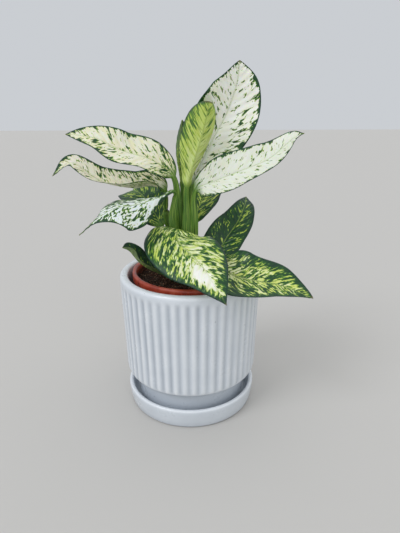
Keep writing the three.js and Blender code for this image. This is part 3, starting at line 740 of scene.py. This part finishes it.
def leafMaterial(plan):
    material, tree = newMaterial("variegated_" + plan["name"])
    tone = {k: hexColour(v) for k, v in leafTones.items()}
    veins = addNode(tree, "Attribute", attribute_name="veins").outputs["Vector"]
    place = addNode(tree, "SeparateXYZ", {0: addNode(tree, "Attribute",
                                                     attribute_name="place").outputs["Vector"]})
    zone = addNode(tree, "SeparateXYZ", {0: addNode(tree, "Attribute",
                                                    attribute_name="zone").outputs["Vector"]})
    wide, long = plan["fleck"]     # mm across and along a fleck

    fine = addNode(tree, "VectorMath", {0: veins, 1: (1 / long, 1 / long, 1.0)},
                   operation="MULTIPLY").outputs[0]
    thin = addNode(tree, "VectorMath", {0: fine, 1: (long / wide, 1.0, 1.0)}, operation="MULTIPLY").outputs[0]
    streaks = addNode(tree, "TexNoise", {"Vector": thin, "Scale": 0.47, "Detail": 2.4, "Roughness": 0.58,
                                         "Distortion": 0.8}).outputs["Fac"]
    spots = addNode(tree, "TexNoise", {"Vector": veins, "Scale": 1 / 3.4, "Detail": 1.6,
                                       "Roughness": 0.5}).outputs["Fac"]
    fleck = addNode(tree, "Mix", {0: plan.get("spotty", 0.36), 2: streaks, 3: spots},
                    data_type="FLOAT").outputs[0]
    broad = addNode(tree, "VectorMath", {0: veins, 1: (1 / 7.0, 1 / 15.0, 1.0)},
                    operation="MULTIPLY").outputs[0]
    patch = addNode(tree, "TexNoise", {"Vector": broad, "Scale": 1.0, "Detail": 2.0,
                                       "Roughness": 0.55}).outputs["Fac"]

    # green crowds to the margin: a ragged border, and a thin unbroken line at the very edge
    frayed = addNode(tree, "Math", {0: patch, 1: plan["edge"] * 3.4}, operation="MULTIPLY").outputs[0]
    edge = addNode(tree, "MapRange", {"Value": place.outputs[0], "From Min": 0.4, "From Max": frayed,
                                      "To Min": 1.0, "To Max": 0.0},
                   interpolation_type="SMOOTHSTEP").outputs[0]
    line = addNode(tree, "MapRange", {"Value": place.outputs[0], "From Min": 0.4,
                                      "From Max": plan["edge"] * 0.5,
                                      "To Min": 1.0, "To Max": 0.0},
                   interpolation_type="SMOOTHSTEP").outputs[0]
    terms = [(fleck, 1.65), (patch, 0.42), (edge, 0.2), (line, 0.5), (zone.outputs[2], 1.0)]
    value = plan["green"] - 1.035
    for term, share in terms:
        value = addNode(tree, "Math", {0: term, 1: share, 2: value}, operation="MULTIPLY_ADD").outputs[0]
    shown = addNode(tree, "MapRange", {"Value": value, "From Min": -0.3, "From Max": 0.7}).outputs[0]
    cloud = addNode(tree, "TexNoise", {"Vector": broad, "Scale": 1.5, "Detail": 1.0}).outputs["Fac"]
    creamy = addNode(tree, "MapRange", {"Value": cloud, "From Min": 0.4, "From Max": 0.66,
                                        "To Min": plan["cream"][0], "To Max": plan["cream"][1]}).outputs[0]
    whiter = addNode(tree, "Math", {0: zone.outputs[2], 1: 3.0, 2: creamy}, operation="MULTIPLY_ADD",
                     use_clamp=True)
    pale = [hexColour(c) for c in plan.get("pale", (leafTones["white"], leafTones["cream"]))]
    tissue = addNode(tree, "Mix", {0: whiter.outputs[0], 6: pale[0], 7: pale[1]}, data_type="RGBA").outputs[2]
    soft = plan["soft"]            # how gently pale tissue goes over to green
    greens = addNode(tree, "ValToRGB", {"Fac": shown}, stops=[
        (0.40, tone["lime"]), (0.40 + 0.6 * soft, tone["bright"]), (0.40 + 1.2 * soft, tone["green"]),
        (0.40 + 2.6 * soft, tone["deep"]), (0.95, tone["darkest"])]).outputs["Color"]
    share = addNode(tree, "MapRange", {"Value": shown, "From Min": 0.40 - soft * 0.7,
                                       "From Max": 0.40 + soft * 0.3}).outputs[0]
    tint = addNode(tree, "Mix", {0: share, 6: tissue, 7: greens}, data_type="RGBA").outputs[2]

    # the last few millimetres of the tip are dry and brown
    dry = addNode(tree, "MapRange", {"Value": place.outputs[2], "From Min": 0.975,
                                     "From Max": 0.995}).outputs[0]
    tint = addNode(tree, "Mix", {0: dry, 6: tint, 7: hexColour("#5a4a30")}, data_type="RGBA").outputs[2]

    # midrib: a pale green line
    ribLine = addNode(tree, "MapRange", {"Value": place.outputs[1], "From Min": 0.25, "From Max": 0.9,
                                         "To Min": plan.get("rib", 0.3), "To Max": 0.0},
                      interpolation_type="SMOOTHSTEP").outputs[0]
    withRib = addNode(tree, "Mix", {0: ribLine, 6: tint, 7: tone["stalkPale"]}, data_type="RGBA").outputs[2]
    underMix = addNode(tree, "Math", {0: zone.outputs[0], 1: plan.get("duller", 0.4)},
                       operation="MULTIPLY").outputs[0]
    withUnder = addNode(tree, "Mix", {0: underMix, 6: withRib, 7: tone["under"]}, data_type="RGBA").outputs[2]

    # stalk: long streaks of pale and dark green
    streakAt = addNode(tree, "VectorMath", {0: veins, 1: (1 / 30.0, 1 / 0.8, 1.0)},
                       operation="MULTIPLY").outputs[0]
    streak = addNode(tree, "TexNoise", {"Vector": streakAt, "Scale": 1.0, "Detail": 2.0}).outputs["Fac"]
    stem = addNode(tree, "ValToRGB", {"Fac": streak}, stops=[
        (0.34, tone["stalkDark"]), (0.5, tone["stalk"]), (0.66, tone["stalkPale"])]).outputs["Color"]
    skin = addNode(tree, "Mix", {0: zone.outputs[1], 6: withUnder, 7: stem}, data_type="RGBA").outputs[2]

    # relief: cells a third of a millimetre across, drawn at 0.8 mm so that they show
    cells = addNode(tree, "TexNoise", {"Vector": veins, "Scale": 1 / 0.8, "Detail": 2.0}).outputs["Fac"]
    raised = addNode(tree, "Math", {0: fleck, 1: 0.6, 2: cells}, operation="MULTIPLY_ADD").outputs[0]
    bump = addNode(tree, "Bump", {"Height": raised, "Strength": 0.16, "Distance": 0.25 * mm}).outputs[0]
    rough = addNode(tree, "MapRange", {"Value": patch, "From Min": 0.3, "From Max": 0.7, "To Min": 0.33,
                                       "To Max": 0.46}).outputs[0]
    dull = addNode(tree, "Math", {0: zone.outputs[0], 1: 0.14, 2: rough}, operation="MULTIPLY_ADD").outputs[0]
    shader = addNode(tree, "BsdfPrincipled", {"Base Color": skin, "Roughness": dull, "IOR": 1.42,
                                              "Normal": bump,
                                              "Subsurface Weight": 0.12, "Subsurface Scale": 0.0012,
                                              "Subsurface Radius": (0.5, 1.0, 0.25)})
    addNode(tree, "OutputMaterial", {"Surface": shader.outputs[0]})
    return material


for plan in leaves:
    loops, veins, place, zone = leafSurface(plan)
    rings, around = loops.shape[:2]
    points = loops.reshape(-1, 3)
    ends = np.stack([points[:around].mean(0), points[-around:].mean(0)])
    total = len(points)
    faces = [gridQuads(rings, around), fan(total, np.arange(around), flip=True),
             fan(total + 1, np.arange(total - around, total))]
    layers = {}
    for key, field in (("veins", veins), ("place", place), ("zone", zone)):
        flat = field.reshape(-1, 3)
        layers[key] = np.vstack([flat, flat[:1], flat[-1:]])
    blade = makeMesh(plan["name"] + "_living", np.vstack([points, ends]), faces, leafMaterial(plan), layers)
    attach(blade, "root")
    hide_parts(plan["name"])
print("leaves made")


# The short cane between the stalks: smooth green with pale rings where old leaves came away.
stemSize = {"x": -4.0, "radius": 4.3, "low": 123.0, "top": 152.0, "ringGap": 7.0}


def stemMaterial():
    material, tree = newMaterial("greenCane")
    place = addNode(tree, "TexCoord").outputs["Object"]
    scar = addNode(tree, "Attribute", attribute_name="scar").outputs["Fac"]
    cloud = addNode(tree, "TexNoise", {"Vector": place, "Scale": 1 / (3 * mm), "Detail": 3.0}).outputs["Fac"]
    tint = addNode(tree, "ValToRGB", {"Fac": cloud}, stops=[
        (0.35, hexColour(leafTones["stalkDark"])), (0.6, hexColour(leafTones["stalk"]))]).outputs["Color"]
    skin = addNode(tree, "Mix", {0: scar, 6: tint, 7: hexColour("#8d8a62")}, data_type="RGBA").outputs[2]
    shader = addNode(tree, "BsdfPrincipled", {"Base Color": skin, "Roughness": 0.5})
    addNode(tree, "OutputMaterial", {"Surface": shader.outputs[0]})
    return material


def stemShape(r, z, angle):
    # a cane that swells 8% at each leaf scar
    scar = np.clip(1 - np.abs(((z - stemSize["low"]) / stemSize["ringGap"]) % 1 - 0.5) * 6, 0, 1)
    return r * (1 + 0.08 * scar), z, {"scar": scar * 0.7}


stemRise = np.linspace(stemSize["low"], stemSize["top"] - 2, 50)
stemProfile = np.vstack([[(0, stemSize["low"])],
                         np.stack([stemSize["radius"] - 1.4 * np.linspace(0, 1, 50) ** 2, stemRise], 1),
                         [(1.6, stemSize["top"] - 0.6), (0, stemSize["top"])]])
stem = turnedPiece("stem_cane", stemProfile, 40, stemMaterial(), stemShape)
co = np.empty(len(stem.data.vertices) * 3, np.float32)
stem.data.vertices.foreach_get("co", co)
co[0::3] += stemSize["x"] * mm
stem.data.vertices.foreach_set("co", co)
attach(stem, "root")
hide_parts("stem")
print("stem made")


def stageMaterial():
    material, tree = newMaterial("paleFloor")
    shader = addNode(tree, "BsdfPrincipled", {"Base Color": hexColour("#c9c6c1"), "Roughness": 0.9,
                                              "Specular IOR Level": 0.2})
    addNode(tree, "OutputMaterial", {"Surface": shader.outputs[0]})
    return material


floorSize = 6000.0                 # mm from the middle to the edge
floorPoints = floorSize * np.array([[-1, -1, 0], [1, -1, 0], [1, 1, 0], [-1, 1, 0]], float)
floorPoints[:, 2] = -0.1
floor = makeMesh("floor", floorPoints, [np.array([[0, 1, 2, 3]])], stageMaterial(), flat=True)

world = bpy.data.worlds.new("softRoom")
bpy.context.scene.world = world
world.use_nodes = True
world.node_tree.nodes["Background"].inputs["Color"].default_value = hexColour("#dfe3e8")
world.node_tree.nodes["Background"].inputs["Strength"].default_value = 0.8

lights = [                         # wide soft discs of light, so that the floor is lit alike all over
    {"name": "windowLeft", "from": (-0.95, -0.75, 1.2), "spread": 26, "strength": 0.9, "colour": "#f6f9ff"},
    {"name": "softFront", "from": (0.1, -1.0, 0.35), "spread": 70, "strength": 0.5, "colour": "#ffffff"},
    {"name": "softTop", "from": (0.15, 0.3, 1.0), "spread": 80, "strength": 0.4, "colour": "#ffffff"},
]
for spec in lights:
    lamp = bpy.data.lights.new(spec["name"], "SUN")
    lamp.energy, lamp.angle = spec["strength"], math.radians(spec["spread"])
    lamp.color = hexColour(spec["colour"])[:3]
    holder = bpy.data.objects.new(spec["name"], lamp)
    holder.rotation_euler = Vector(spec["from"]).to_track_quat("Z", "Y").to_euler()
    bpy.context.scene.collection.objects.link(holder)

eye = bpy.data.cameras.new("eye")
eye.sensor_width, eye.lens, eye.clip_start = 36.0, 29.04, 0.01
camera = bpy.data.objects.new("eye", eye)
camera.location = (0.0097, -0.3755, 0.2708)
camera.rotation_euler = (math.radians(90 - 20.04), math.radians(0.19), 0)
bpy.context.scene.collection.objects.link(camera)
bpy.context.scene.camera = camera
bpy.context.scene.view_settings.view_transform = "Standard"
print("stage set")
